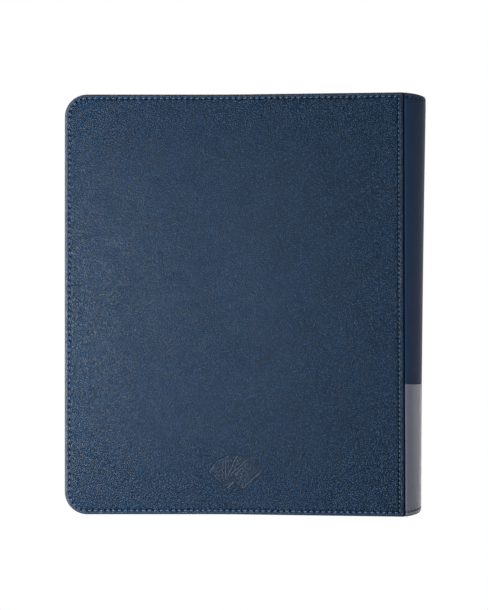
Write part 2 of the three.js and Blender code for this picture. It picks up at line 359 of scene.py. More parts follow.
def grained(name, base, size, depth, roughness, specular=0.4):
    """Foam, board or moulded sheet: a fine random grain."""
    shader = Shader(name, roughness, specular)
    grain = shader.noise(size, 4.0)
    shader.bump(grain, depth)
    tone = shader.mix(shader.remap(grain, 0.3, 0.7), scaled(base, 0.75), base)
    broad = shader.remap(shader.noise(size * 30, 2.0), 0.4, 0.7, 0.0, 0.3)
    shader.set(Base_Color=shader.mix(broad, tone, scaled(base, 1.25)))
    return shader.material


RIPPLE_SIZE = 45 * MM
RIPPLE_DEPTH = 0.35 * MM
SCUFF_SIZE = 0.9 * MM


def clear_film(name):
    """Thin clear pocket film: broad faint ripples, and a fine haze of scuffs."""
    shader = Shader(name, 0.16, 0.5)
    ripples = shader.noise(RIPPLE_SIZE, 1.0)
    haze = shader.noise(SCUFF_SIZE, 3.0)
    shader.bump(ripples, RIPPLE_DEPTH)
    tone = shader.mix(shader.remap(haze, 0.3, 0.7), (0.45, 0.465, 0.49), (0.5, 0.51, 0.54))
    gloss = shader.remap(ripples, 0.35, 0.65, 0.12, 0.2)
    shader.set(Base_Color=tone, Roughness=gloss, Alpha=shader.remap(haze, 0.35, 0.75, 0.06, 0.075))
    return shader.material


SMOOTH = {"cell": 0.7 * MM, "depth": 0.03 * MM}
NAVY_PEBBLED = leather(
    "navy_pebbled_leather", (0.0076, 0.042, 0.1), 0.95 * MM, 0.32 * MM, 0.34, specular=0.24, glint_contrast=1.3
)
NAVY_SMOOTH = leather(
    "navy_smooth_leather", (0.0175, 0.0355, 0.077), roughness=0.6, specular=0.08, glint_contrast=0.15, **SMOOTH
)
GREY_SMOOTH = leather(
    "grey_smooth_leather",
    (0.136, 0.141, 0.184),
    roughness=0.48,
    specular=0.5,
    glint_contrast=0.1,
    # the band's edges take this lighter grey, for wear and for the painted highlight on its rolled top edge
    worn_and_lit=(0.16, 0.165, 0.195),
    **SMOOTH,
)
BLUE_THREAD = thread("blue_thread", (0.08, 0.14, 0.25))
NAVY_THREAD = thread("navy_thread", (0.03, 0.052, 0.095))
DARK_THREAD = thread("dark_thread", (0.02, 0.022, 0.03))
LINING_CLOTH = woven("black_lining_cloth", (0.018, 0.018, 0.021), 0.9 * MM)
BINDING_CLOTH = woven("black_binding_tape", (0.013, 0.013, 0.015), 1.3 * MM, "Y", "Z")
FOAM = grained("cover_foam", (0.7, 0.69, 0.64), 0.8 * MM, 0.1 * MM, 0.95)
GREYBOARD = grained("greyboard", (0.27, 0.255, 0.23), 0.6 * MM, 0.05 * MM, 0.9)
STIFFENER = grained("stiffener_sheet", (0.03, 0.03, 0.033), 0.5 * MM, 0.02 * MM, 0.5)
LEAF_SHEET = grained("black_leaf_sheet", (0.012, 0.012, 0.014), 0.35 * MM, 0.02 * MM, 0.55, 0.3)
CLEAR_FILM = clear_film("clear_pocket_film")

# ---- Cover panels ----


def bow_at(x):
    """How far a cover stands out at x: flat near the fore edge, a soft start, then a straight slope."""
    middle = (BOW_START_X + BOW_END_X) / 2
    slope = BOW / (PANEL_X - middle)
    soft = slope * (x - BOW_START_X) ** 2 / (2 * (BOW_END_X - BOW_START_X))
    straight = slope * (x - middle)
    return np.where(x < BOW_START_X, 0.0, np.where(x < BOW_END_X, soft, straight))


def crease_lean(z):
    """The sideways lean of the crease at a height."""
    return LEAN_LOW + (LEAN_HIGH - LEAN_LOW) * z / HEIGHT


def lean_at(x, z):
    """The lean of a point on a cover, fading out towards the fore edge."""
    return crease_lean(z) * smoothstep(x, LEAN_START_X, PANEL_X)


def swell_at(x, z):
    """The slight unevenness of leather over foam, none of it near the edges."""
    from_edge = np.minimum(np.minimum(x - FORE_X, PANEL_X - x), np.minimum(z, HEIGHT - z))
    waves = sum(strength * np.sin(x * by_x + z * by_z + phase) for strength, by_x, by_z, phase in SWELL_WAVES)
    return smoothstep(from_edge, SWELL_START, SWELL_END) * (SWELL + SWELL_WAVE * waves)


def on_cover(sign, flat_points, depth):
    """Points given as x and z, placed at a depth below a cover's outer surface."""
    x, z = flat_points[:, 0], flat_points[:, 1]
    y = FLAT_Y + bow_at(x) + swell_at(x, z) - depth
    return np.stack([x + lean_at(x, z), sign * y, z], axis=1)


def outline_samples():
    """(segment, share along it, phase in the stitch) for points round the panel; phase 0 is a needle hole."""
    straight_top = PANEL_X - STITCH_INSET - FORE_X - CORNER_RADIUS
    arc = math.pi / 2 * (CORNER_RADIUS - STITCH_INSET)
    fore = HEIGHT - 2 * CORNER_RADIUS
    lengths = [HEIGHT - 2 * STITCH_INSET, straight_top, arc, fore, arc, straight_top]
    rows = []
    for segment, length in enumerate(lengths):
        pitch = SPINE_SIDE_PITCH if segment == 0 else EDGE_PITCH
        count = round(length / pitch) * SAMPLES_PER_STITCH
        for step in range(count):
            rows.append((segment, step / count, (step % SAMPLES_PER_STITCH) / SAMPLES_PER_STITCH))
    return np.array(rows)


SAMPLES = outline_samples()


def outline_ring(inset):
    """The panel's outline moved in by inset, as x and z: up the spine side, along the top and so on."""
    left, right = FORE_X + inset, PANEL_X - inset
    centre_x = FORE_X + CORNER_RADIUS
    high = HEIGHT - CORNER_RADIUS
    corners = [(right, inset), (right, HEIGHT - inset), (centre_x, HEIGHT - inset), (left, high)]
    corners = np.array([*corners, (left, CORNER_RADIUS), (centre_x, inset), (right, inset)])
    segment, share = SAMPLES[:, 0].astype(int), SAMPLES[:, 1]
    flat = corners[segment] + (corners[segment + 1] - corners[segment]) * share[:, None]
    for arc, centre_z, quarter in ((2, high, 1), (4, CORNER_RADIUS, 2)):
        here = segment == arc
        turn = math.pi / 2 * (quarter + share[here])
        reach = CORNER_RADIUS - inset
        flat[here] = np.stack([centre_x + reach * np.cos(turn), centre_z + reach * np.sin(turn)], axis=1)
    x, z = flat[:, 0], flat[:, 1]
    near_fore = 1 - smoothstep(x, FORE_X + LIP_WIDTH, FORE_X + CORNER_RADIUS)
    x = x + FORE_LIP * smoothstep(inset, LIP_START, STITCH_INSET) * near_fore
    return np.stack([x, z], axis=1)


SPINE_SIDE_WEAR_AND_HIGHLIGHT = 0.12
END_WEAR_AND_HIGHLIGHT = 0.3  # along the top and the bottom


def wear_share():
    """How much wear and painted highlight the leather's edge has round the panel: most at the fore edge, which
    faces the key light, least at the spine.
    """
    by_segment = np.array([SPINE_SIDE_WEAR_AND_HIGHLIGHT, END_WEAR_AND_HIGHLIGHT, 1.0, 1.0, 1.0, END_WEAR_AND_HIGHLIGHT])
    segment = SAMPLES[:, 0].astype(int)
    share = SAMPLES[:, 1]
    wear = by_segment[segment]
    wear = np.where(segment == 2, END_WEAR_AND_HIGHLIGHT + (1 - END_WEAR_AND_HIGHLIGHT) * smoothstep(share, 0.0, 0.9), wear)
    return np.where(segment == 4, 1 - (1 - END_WEAR_AND_HIGHLIGHT) * smoothstep(share, 0.1, 1.0), wear)


def pit_at(phase, start, end):
    """1 at each needle hole, falling to 0 from start to end, as shares of a stitch."""
    return 1 - smoothstep(np.minimum(phase, 1 - phase), start, end)


def filled(boundary, inner):
    """Triangles that fill a closed boundary and use the inner points, as indices into both together."""
    everything = [Vector(point) for point in np.vstack([boundary, inner])]
    ring = [list(range(len(boundary)))]
    result = delaunay_2d_cdt(everything, [], ring, 1, 1e-7)
    origin = [sources[0] for sources in result[3]]
    return [[origin[corner] for corner in face] for face in result[2]]


FACE_INSET = 6 * MM  # where the middle of a panel's face begins
BACK_INSET = 2 * MM  # where the middle of its hidden side begins
THINNED_RINGS = ((1.6 * MM, 3), (4.6 * MM, 6))  # (further in, one point kept of this many)
GRID_MARGIN = 8.5 * MM
FACE_GRID = 5 * MM
LINING_GRID = 6 * MM
HIDDEN_GRID = 12 * MM


def grid_points(low, high, step):
    """A square grid of points between two corners."""
    across = np.arange(low[0], high[0], step)
    up = np.arange(low[1], high[1], step)
    return np.stack(np.meshgrid(across, up), axis=-1).reshape(-1, 2)


def inner_points(inset, step, window=None):
    """Points for the middle of a panel: two thinned rings, then a plain grid that leaves the window free."""
    rings = [outline_ring(inset + further)[::kept] for further, kept in THINNED_RINGS]
    margin = inset + GRID_MARGIN
    grid = grid_points((FORE_X + margin, margin), (PANEL_X - margin, HEIGHT - margin), step)
    if window is not None:
        inside = np.all((grid > window[0]) & (grid < window[1]), axis=1)
        grid = grid[~inside]
    return np.vstack([*rings, grid])


# The generic mark: a fan of plain cards, pressed into the back cover near its lower edge.
MARK_CENTRE = np.array([-10 * MM, 33.5 * MM])
MARK_WINDOW = np.array([48 * MM, 30 * MM])
CARD_SIZE = np.array([13.5 * MM, 18.9 * MM])
CARD_CORNER = 1.7 * MM
CARD_FRAME = 2.1 * MM
PIVOT_DROP = 9.35 * MM  # the cards fan out from a pivot this far below the mark's centre
PIVOT_REACH = 10.54 * MM  # from the pivot to the middle of a card
FAN_DEGREES = (-48, -24, 0, 24, 48)
MARK_DEPTH = 0.24 * MM
MARK_STEP = 0.36 * MM
MARK_MARGIN = 2 * MM
LINE_HALF = 0.55 * MM
CARD_PRESS = 0.45  # how deep a card's face is pressed, as a share of its outline's depth
FRAME_PRESS = 0.8  # and the line that frames it


def card_distance(points, degrees):
    """Signed distance from one card's outline in the fan, negative inside it."""
    turn = math.radians(degrees)
    local = points - MARK_CENTRE + np.array([0, PIVOT_DROP])
    x = local[:, 0] * math.cos(turn) - local[:, 1] * math.sin(turn)
    z = local[:, 0] * math.sin(turn) + local[:, 1] * math.cos(turn) - PIVOT_REACH
    reach = np.abs(np.stack([x, z], axis=1)) - CARD_SIZE / 2 + CARD_CORNER
    outside = np.linalg.norm(np.maximum(reach, 0), axis=1)
    return outside + np.minimum(reach.max(axis=1), 0) - CARD_CORNER


def mark_press(points):
    """How deep the mark is pressed, from 0 to 1; each card hides the lines of those under it."""
    press = np.zeros(len(points))
    for degrees in FAN_DEGREES:
        distance = card_distance(points, degrees)
        line = 1 - smoothstep(np.abs(distance), LINE_HALF * 0.5, LINE_HALF * 1.3)
        framing = 1 - smoothstep(np.abs(distance + CARD_FRAME), LINE_HALF * 0.4, LINE_HALF)
        inside = np.maximum(np.maximum(CARD_PRESS, line), FRAME_PRESS * framing)
        press = np.where(distance < 0, inside, np.maximum(press, line))
    return press


# Sections are rows of (inset, depth, how much a needle hole deepens it, wear and painted highlight), in
# millimetres. A panel's section goes from the middle of its face out to its edge, and round to its hidden side.
SKIN_SECTION = [
    (6.0, 0, 0, 0),
    (4.9, 0.03, 0, 0),
    (4.2, 0.14, 0.15, 0),
    (3.8, 0.34, 0.6, 0),
    (3.3, 0.48, 0.8, 0),
    (2.8, 0.34, 0.6, 0.1),
    (2.4, 0.14, 0.15, 0.7),
    (1.8, 0.08, 0, 0.9),
    (1.2, 0.16, 0, 1),
    (0.7, 0.4, 0, 1),
    (0.3, 0.85, 0, 1),
    (0.06, 1.5, 0, 0.8),
    (0, 2.2, 0, 0.5),
    (0.05, 3.0, 0, 0.5),
    (0.3, 3.7, 0, 0.5),
    (0.8, 4.15, 0, 0.4),
    (1.3, 4.28, 0, 0.2),
    (1.65, 4.1, 0, 0),
    (1.7, 3.4, 0, 0),
    (1.9, 1.1, 0, 0),
]


def section_rings(section, sign):
    """The rings of a panel's edge, with their values of painted shade in the needle holes and of wear with painted
    highlight.
    """
    pits = pit_at(SAMPLES[:, 2], 0.1, 0.34)
    lit_wear_share = wear_share()
    points, pit, wear = [], [], []
    for inset, depth, deepen, worn_and_lit in section:
        points.append(on_cover(sign, outline_ring(inset * MM), (depth + deepen * pits) * MM))
        # The needle holes also take painted shade, darker where they are deeper.
        pit.append(pits * min(1.0, deepen * PIT_DARKENING))
        wear.append(worn_and_lit * lit_wear_share)
    return np.vstack(points), np.concatenate(pit), np.concatenate(wear)


def build_panel(side, kind, section, material, face_flat, back_flat, press=None):
    """A closed slab of a cover: rings round its edge, from its face to its back, and a middle for each."""
    sign = SIDES[side]
    rings, pit, wear = section_rings(section, sign)
    size = len(SAMPLES)
    press = np.zeros(len(face_flat)) if press is None else press
    face = on_cover(sign, face_flat, section[0][1] * MM + press * MARK_DEPTH)
    back = on_cover(sign, back_flat, section[-1][1] * MM)
    faces = loop_faces(len(section), size)
    fills = (
        (section[0][0], face_flat, 0, len(rings)),
        (section[-1][0], back_flat, len(rings) - size, len(rings) + len(face)),
    )
    for inset, flat, ring_start, middle_start in fills:
        for corners in filled(outline_ring(inset * MM), flat):
            faces.append([c + ring_start if c < size else c - size + middle_start for c in corners])
    middles = np.zeros(len(face) + len(back))
    return add_mesh(
        f"{side}_{kind}",
        np.vstack([rings, face, back]),
        faces,
        material,
        pit=np.concatenate([pit, middles]),
        wear=np.concatenate([wear, middles]),
        press=np.concatenate([np.zeros(len(rings)), press, np.zeros(len(back))]),
    )


def build_skin(side):
    """The leather of a cover. Only the back one has the mark, on a patch of finer points."""
    face_flat = inner_points(FACE_INSET, FACE_GRID)
    press = None
    if side == "back":
        low = MARK_CENTRE - MARK_WINDOW / 2
        high = MARK_CENTRE + MARK_WINDOW / 2
        around = inner_points(FACE_INSET, FACE_GRID, (low - MARK_MARGIN, high + MARK_MARGIN))
        face_flat = np.vstack([around, grid_points(low, high, MARK_STEP)])
        press = mark_press(face_flat)
    back_flat = inner_points(BACK_INSET, HIDDEN_GRID)
    piece = build_panel(side, "cover_leather", SKIN_SECTION, NAVY_PEBBLED, face_flat, back_flat, press)
    settle(piece, f"{side}_cover", "cover_leather", f"{side}_cover_skin")


FOAM_EDGE = ((6.0, 1.2), (3.6, 1.24), (2.9, 1.36), (2.6, 1.6), (2.7, 1.85), (3.3, 2.0))
FOAM_SECTION = [(inset, depth, 0, 0) for inset, depth in FOAM_EDGE]


def build_foam(side):
    face_flat = inner_points(FACE_INSET, HIDDEN_GRID)
    back_flat = inner_points(FOAM_EDGE[-1][0] * MM, HIDDEN_GRID)
    piece = build_panel(side, "cover_foam", FOAM_SECTION, FOAM, face_flat, back_flat)
    settle(piece, f"{side}_cover", "foam", f"{side}_cover_padding")


# The lining is on the inside, so its needle holes go towards the cover's outer surface.
LINING_EDGE = (
    (6.0, 4.3, 0),
    (4.2, 4.27, 0),
    (3.7, 4.18, -0.2),
    (3.3, 4.12, -0.35),
    (2.9, 4.18, -0.2),
    (2.4, 4.27, 0),
    (2.05, 4.25, 0),
    (1.85, 4.1, 0),
    (1.8, 3.95, 0),
    (1.85, 3.82, 0),
)
LINING_SECTION = [(*row, 0) for row in LINING_EDGE]


def build_lining(side):
    face_flat = inner_points(FACE_INSET, LINING_GRID)
    back_flat = inner_points(BACK_INSET, HIDDEN_GRID)
    piece = build_panel(side, "cover_inner_cloth", LINING_SECTION, LINING_CLOTH, face_flat, back_flat)
    settle(piece, f"{side}_cover", "lining_cloth", f"{side}_cover_lining")


# ---- Stitches ----

STITCH_SIDES = 7
STITCH_STATIONS = (-1.0, -0.86, -0.5, 0.0, 0.5, 0.86, 1.0)
STITCH_SWELLS = (0.25, 0.66, 0.95, 1.0, 0.95, 0.66, 0.25)
STITCH_SHARE = 0.66  # of the pitch
STITCH_DEPTH = 0.22 * MM  # from the cover's outer surface to the middle of its stitches
INNER_STITCH_DEPTH = 0.1 * MM  # and from its inner surface
PLY_TURNS = 1.6  # turns of the plies in half a stitch


def stitch_points(centre, along, out, length, radius, slant_degrees, dip):
    """One lock stitch: a short rounded bar whose ends go down into the needle holes."""
    across = out.cross(along)
    slant = math.radians(slant_degrees)
    along = along * math.cos(slant) + across * math.sin(slant)
    across = out.cross(along)
    points, twist = [], []
    for station, swell in zip(STITCH_STATIONS, STITCH_SWELLS):
        middle = centre + along * (station * length / 2) - out * (dip * station * station)
        for corner in range(STITCH_SIDES):
            angle = math.tau * corner / STITCH_SIDES
            reach = across * (math.cos(angle) * radius * swell) + out * (math.sin(angle) * radius * swell)
            points.append(middle + reach)
            twist.append(station * PLY_TURNS + corner / STITCH_SIDES)
    return points, twist


def build_stitches(name, stitches, material, radius=THREAD_RADIUS, slant=9.0, dip=0.75 * MM):
    """One mesh for a row of stitches, each given as (centre, direction along, direction out, length)."""
    points, faces, twist = [], [], []
    for centre, along, out, length in stitches:
        faces += shifted(tube_faces(len(STITCH_STATIONS), STITCH_SIDES), len(points))
        made, turned = stitch_points(centre, along, out, length, radius, slant, dip)
        points.extend(made)
        twist.extend(turned)
    return add_mesh(name, points, faces, material, 80.0, twist=twist)


def cover_row(sign, depth, out_sign):
    """The stitches round one face of a cover."""
    ring = on_cover(sign, outline_ring(STITCH_INSET), np.full(len(SAMPLES), depth))
    size = len(ring)
    half = SAMPLES_PER_STITCH // 2
    row = []
    for start in range(0, size, SAMPLES_PER_STITCH):
        centre = Vector(ring[(start + half) % size])
        before = Vector(ring[(start + 1) % size])
        after = Vector(ring[(start + SAMPLES_PER_STITCH - 1) % size])
        pitch = (Vector(ring[(start + SAMPLES_PER_STITCH) % size]) - Vector(ring[start])).length
        out = Vector((0, sign * out_sign, 0))
        row.append((centre, (after - before).normalized(), out, pitch * STITCH_SHARE))
    return row


def build_cover_thread(side):
    sign = SIDES[side]
    outer_row = cover_row(sign, STITCH_DEPTH, 1)
    inner_row = cover_row(sign, COVER_THICKNESS - INNER_STITCH_DEPTH, -1)
    piece = build_stitches(f"{side}_cover_stitches", outer_row + inner_row, BLUE_THREAD)
    settle(piece, f"{side}_cover", "blue_thread", f"{side}_cover_thread")


# ---- Spine ----


def bezier(points, share):
    """A point on a cubic curve."""
    first, second, third, fourth = (np.array(point) for point in points)
    share = share[:, None]
    back = 1 - share
    return back**3 * first + 3 * back**2 * share * second + 3 * back * share**2 * third + share**3 * fourth


def spine_curve():
    """The spine's outer line in x and y, crease to crease, with a small curl down into each crease."""
    start = (SPINE_START_X, -SPINE_START_Y)
    rise = (SPINE_START_X + 8.4 * MM, -SPINE_START_Y + 2.3 * MM)
    crown = (SPINE_OUT_X - 0.2 * MM, -12 * MM)
    half = bezier([start, rise, crown, (SPINE_OUT_X, 0)], np.linspace(0, 1, 40))
    root = (CREASE_X + 0.05 * MM, -CREASE_Y + 0.35 * MM)
    turn = (CREASE_X, -CREASE_Y - 0.85 * MM)
    lead = (SPINE_START_X - 0.3 * MM, -SPINE_START_Y - 0.05 * MM)
    curl = bezier([root, turn, lead, start], np.linspace(0, 1, 8))
    near = np.vstack([curl[:-1], half])
    far = near[::-1][1:] * np.array([1, -1])
    return np.vstack([near, far])


SPINE_LINE = spine_curve()
SPINE_STEPS = np.linalg.norm(np.diff(SPINE_LINE, axis=0), axis=1)
SPINE_RUN = np.concatenate([[0.0], np.cumsum(SPINE_STEPS)])
SPINE_LENGTH = SPINE_RUN[-1]
SPINE_DIRECTIONS = np.gradient(SPINE_LINE, SPINE_RUN, axis=0)


def on_spine(share, z, depth):
    """A point at a share of the way round the spine, at height z, at a depth below its surface."""
    share, z, depth = np.broadcast_arrays(share, z, depth)
    run = share * SPINE_LENGTH
    x = np.interp(run, SPINE_RUN, SPINE_LINE[:, 0])
    y = np.interp(run, SPINE_RUN, SPINE_LINE[:, 1])
    along_x = np.interp(run, SPINE_RUN, SPINE_DIRECTIONS[:, 0])
    along_y = np.interp(run, SPINE_RUN, SPINE_DIRECTIONS[:, 1])
    size = np.hypot(along_x, along_y)
    near_end = np.minimum(run, SPINE_LENGTH - run)
    held = np.minimum(depth, CURL_THICKNESS + np.maximum(near_end - CURL_LENGTH, 0) * CURL_GROWTH)
    x = x - along_y / size * held
    y = y + along_x / size * held
    lean = crease_lean(z)
    bulge = BULGE_SHARE + (1 - BULGE_SHARE) * (z / HEIGHT) ** BULGE_POWER
    beyond = np.maximum(x - SPINE_START_X, 0)
    within = np.minimum(x - SPINE_START_X, 0)
    easing = 1 - lean / (SPINE_OUT_X - SPINE_START_X)
    x = SPINE_START_X + lean + within + beyond * bulge * easing
    return np.stack([x, y, z + 0 * x], axis=-1)


def join_dip(shares, z):
    """How far the join between wrap and band sags at each share, easing off above and below the join."""
    y = np.interp(shares * SPINE_LENGTH, SPINE_RUN, SPINE_LINE[:, 1])
    near_join = 1 - smoothstep(abs(z - BAND_TOP), DIP_WHOLE, DIP_GONE)
    fall = np.hypot(y, JOIN_ROUNDING) - JOIN_ROUNDING
    whole_fall = math.hypot(SPINE_START_Y, JOIN_ROUNDING) - JOIN_ROUNDING
    return JOIN_DIP * near_join * np.maximum(0, 1 - fall / whole_fall)


PROUD_START = 0.05  # the band starts to stand proud this far round the spine, as a share
PROUD_END = 0.14


def build_spine_piece(name, section, material, slot, node, start=0.0):
    """A strip round the spine. section is a closed list of (z, depth, deepening at needle holes, wear and painted
    highlight).
    """
    count = SPINE_STITCHES * SAMPLES_PER_STITCH
    shares = start + (1 - 2 * start) * np.arange(count + 1) / count
    pits = pit_at(shares * SPINE_STITCHES % 1.0, 0.06, 0.3)
    rings, pit, wear = [], [], []
    proud_share = smoothstep(np.minimum(shares, 1 - shares), PROUD_START, PROUD_END)
    for z, depth, deepen, worn_and_lit in section:
        level = depth if depth > 0 else depth * proud_share
        rings.append(on_spine(shares, z - join_dip(shares, z), (level + deepen * pits) * MM))
        # The needle holes also take painted shade, darker where they are deeper.
        pit.append(pits * min(1.0, deepen * PIT_DARKENING))
        wear.append(np.full(count + 1, worn_and_lit))
    points = np.stack(rings, axis=1).reshape(-1, 3)
    faces = tube_faces(count + 1, len(section))
    pit, wear = (np.stack(values, axis=1).ravel() for values in (pit, wear))
    settle(add_mesh(name, points, faces, material, pit=pit, wear=wear), "spine", slot, node)


# A sewn hem as (distance in from the edge, depth, deepening, wear and painted highlight), face first, then the
# edge and the inside.
HEM = [
    (6.5, 0, 0, 0),
    (4.9, 0.04, 0, 0),
    (4.2, 0.14, 0.1, 0),
    (3.75, 0.32, 0.4, 0),
    (3.3, 0.44, 0.7, 0),
    (2.85, 0.32, 0.4, 0),
    (2.4, 0.14, 0.1, 0.1),
    (1.6, 0.1, 0, 0.4),
    (0.9, 0.25, 0, 0.8),
    (0.35, 0.7, 0, 1),
    (0.05, 1.4, 0, 0.9),
    (0, 2.1, 0, 0.7),
    (0.1, 3.0, 0, 0.6),
    (0.5, 3.7, 0, 0.4),
    (1.2, 3.95, 0, 0.2),
    (5.0, 3.95, 0, 0),
    (5.1, 3.55, 0, 0),
    (1.5, 3.5, 0, 0),
    (1.3, 1.3, 0, 0),
    (2.0, 1, 0, 0),
]
BAND_PROUD = 0.2  # how far the band stands out from the wrap, in millimetres, except beside the creases
SPINE_THICKNESS = 1.0  # of the wrap and the band between their hems, in millimetres


def plain(z, depth, wear=0):
    """A row of a spine section that needle holes don't deepen."""
    return (z, depth, 0, wear)


def plain_run(low, high, step, depth):
    """Rows from low to high, evenly spaced, without the ends."""
    count = max(2, round((high - low) / step))
    return [plain(low + (high - low) * index / count, depth) for index in range(1, count)]


def build_wrap():
    low = BAND_TOP + 0.1 * MM
    section = [plain(low, 0.9), plain(low, 0.3), plain(low + 0.15 * MM, 0.1), plain(low + 0.5 * MM, 0.0)]
    section += plain_run(low + 0.5 * MM, HEIGHT - 8 * MM, 9 * MM, 0.0)
    section += [(HEIGHT - inset * MM, depth, deepen, worn_and_lit) for inset, depth, deepen, worn_and_lit in HEM]
    section += reversed(plain_run(low, HEIGHT - 4 * MM, 30 * MM, SPINE_THICKNESS))
    build_spine_piece("spine_leather", section, NAVY_SMOOTH, "spine_leather", "spine_wrap")


def build_band():
    section = [plain(BAND_TOP, 0.9), plain(BAND_TOP - 0.2 * MM, SPINE_THICKNESS)]
    section += reversed(plain_run(4 * MM, BAND_TOP - 4 * MM, 20 * MM, SPINE_THICKNESS))
    for inset, depth, deepen, worn_and_lit in reversed(HEM):
        proud = BAND_PROUD if depth < 2 else 0.0
        section.append((inset * MM, depth - proud, deepen, worn_and_lit))
    section += plain_run(8 * MM, BAND_TOP - 2.4 * MM, 9 * MM, -BAND_PROUD)
    # The band's rolled top edge: these rows carry wear and a painted highlight.
    section += [
        plain(BAND_TOP - 2.2 * MM, -BAND_PROUD),
        plain(BAND_TOP - 1.2 * MM, -BAND_PROUD - 0.03, 0.35),
        plain(BAND_TOP - 0.5 * MM, -BAND_PROUD, 0.8),
        plain(BAND_TOP - 0.15 * MM, -BAND_PROUD + 0.1, 1.0),
        plain(BAND_TOP, 0.1, 0.6),
    ]
    build_spine_piece("spine_band_leather", section, GREY_SMOOTH, "band_leather", "spine_band")


def build_spine_lining():
    low, high = (corner.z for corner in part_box("spine_lining"))
    section = [plain(low, 3.35), *plain_run(low, high, 25 * MM, 3.4), plain(high, 3.35)]
    section += [plain(high, 2.85), *reversed(plain_run(low, high, 25 * MM, 2.8)), plain(low, 2.85)]
    place = ("lining_cloth", "spine_lining", LINING_START)
    build_spine_piece("spine_inner_cloth", section, LINING_CLOTH, *place)


def build_spine_row(name, z, material, slot, node, proud=0.0):
    pitch = 1 / SPINE_STITCHES
    depth = (SPINE_STITCH_DEPTH - proud) * MM
    row = []
    for index in range(1, SPINE_STITCHES - 1):
        middle = (index + 0.5) * pitch
        centre, before, after, inside = on_spine(
            np.array([middle, middle - 0.1 * pitch, middle + 0.1 * pitch, middle]),
            z,
            np.array([depth, depth, depth, depth + MM]),
        )
        fifth = Vector(after - before)
        length = fifth.length * 5 * SPINE_STITCH_SHARE
        row.append((Vector(centre), fifth.normalized(), Vector(centre - inside).normalized(), length))
    piece = build_stitches(name, row, material, SPINE_STITCH_RADIUS)
    settle(piece, "spine", slot, node)


# ---- Strips of cloth and leather across the creases ----


def rounded_path(corners, per_corner=6):
    """A smooth line through the corners given, as x and y."""
    corners = np.array(corners, float)
    padded = np.vstack([2 * corners[0] - corners[1], corners, 2 * corners[-1] - corners[-2]])
    points = []
    for index in range(len(corners) - 1):
        first, second, third, fourth = padded[index : index + 4]
        for step in range(per_corner):
            t = step / per_corner
            bend = (2 * first - 5 * second + 4 * third - fourth) * t * t
            twist = (3 * second - first - 3 * third + fourth) * t**3
            points.append(0.5 * (2 * second + (third - first) * t + bend + twist))
    points.append(corners[-1])
    return np.array(points)


def build_strip(name, path, thickness, low_z, high_z, material, levels=24):
    """A closed strip of even thickness along a path in x and y, from low_z to high_z."""
    directions = np.gradient(path, axis=0)
    directions /= np.linalg.norm(directions, axis=1)[:, None]
    normals = np.stack([-directions[:, 1], directions[:, 0]], axis=1)
    first = path + normals * thickness / 2
    second = path - normals * thickness / 2
    tip = path[-1] + directions[-1] * thickness / 2
    tail = path[0] - directions[0] * thickness / 2
    outline = np.vstack([first, tip[None], second[::-1], tail[None]])
    rings = []
    for level in range(levels + 1):
        z = low_z + (high_z - low_z) * level / levels
        lean = lean_at(outline[:, 0], np.full(len(outline), z))
        rings.append(np.stack([outline[:, 0] + lean, outline[:, 1], np.full(len(outline), z)], axis=1))
    return add_mesh(name, np.vstack(rings), tube_faces(levels + 1, len(outline)), material, 60.0)


CREASE_THICKNESS = 0.7 * MM
CREASE_END_GAP = 0.1 * MM
# The crease strip's line from the spine to the cover, in millimetres from the hinge's axis.
CREASE_LINE = ((1.4, -0.3), (0.6, -0.55), (-0.2, -0.7), (-0.8, -0.45), (-1.3, -0.1), (-1.9, 0.3))


def build_creases():
    for side, sign in SIDES.items():
        corners = [(CREASE_X + x * MM, CREASE_Y + y * MM) for x, y in CREASE_LINE]
        path = rounded_path(corners) * np.array([1, sign])
        low_z, high_z = CREASE_END_GAP, HEIGHT - CREASE_END_GAP
        strip = build_strip(f"{side}_crease_leather", path, CREASE_THICKNESS, low_z, high_z, NAVY_SMOOTH)
        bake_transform(strip)
        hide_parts(f"{side}_crease_strip")


CLOTH_THICKNESS = 0.4 * MM
CLOTH_GAP = 0.35 * MM  # from a lining to the middle of the hinge cloth
SPINE_LINING_DEPTH = 3.4 * MM
CLOTH_SHARES = np.array([0.17, 0.2, 0.23])  # where the cloth lies on the spine's lining


def build_hinge_cloths():
    """The inner cloth that covers each crease, from the cover's lining to the spine's lining."""
    for side, sign in SIDES.items():
        inner_y = COVER_Y - COVER_THICKNESS - CLOTH_GAP
        on_lining = on_spine(CLOTH_SHARES, HEIGHT / 2, SPINE_LINING_DEPTH + CLOTH_GAP)
        spine_points = on_lining[:, :2] * np.array([1, -1])
        corners = [
            (PANEL_X - 9 * MM, inner_y - 0.45 * MM),
            (PANEL_X - 5 * MM, inner_y - 0.22 * MM),
            (PANEL_X - 1 * MM, inner_y - 0.05 * MM),
            (CREASE_X + 0.6 * MM, inner_y + 0.1 * MM),
            *[tuple(point) for point in spine_points],
        ]
        path = rounded_path(corners) * np.array([1, sign])
        low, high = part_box("page_binding_tape")
        cloth = build_strip(f"{side}_hinge_cloth", path, CLOTH_THICKNESS, low.z, high.z, LINING_CLOTH)
        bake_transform(cloth)


# ---- Binding ----

FLANGE_GAP = 0.5 * MM  # from a leaf's root to its flange
FLANGE_SHARE = 0.36  # half a flange's thickness, as a share of the pitch of the leaves
TAPE_THICKNESS = 0.7 * MM
TAPE_GAP = 0.7 * MM  # from the flanges to the middle of the tape
TAPE_LEVELS = 8


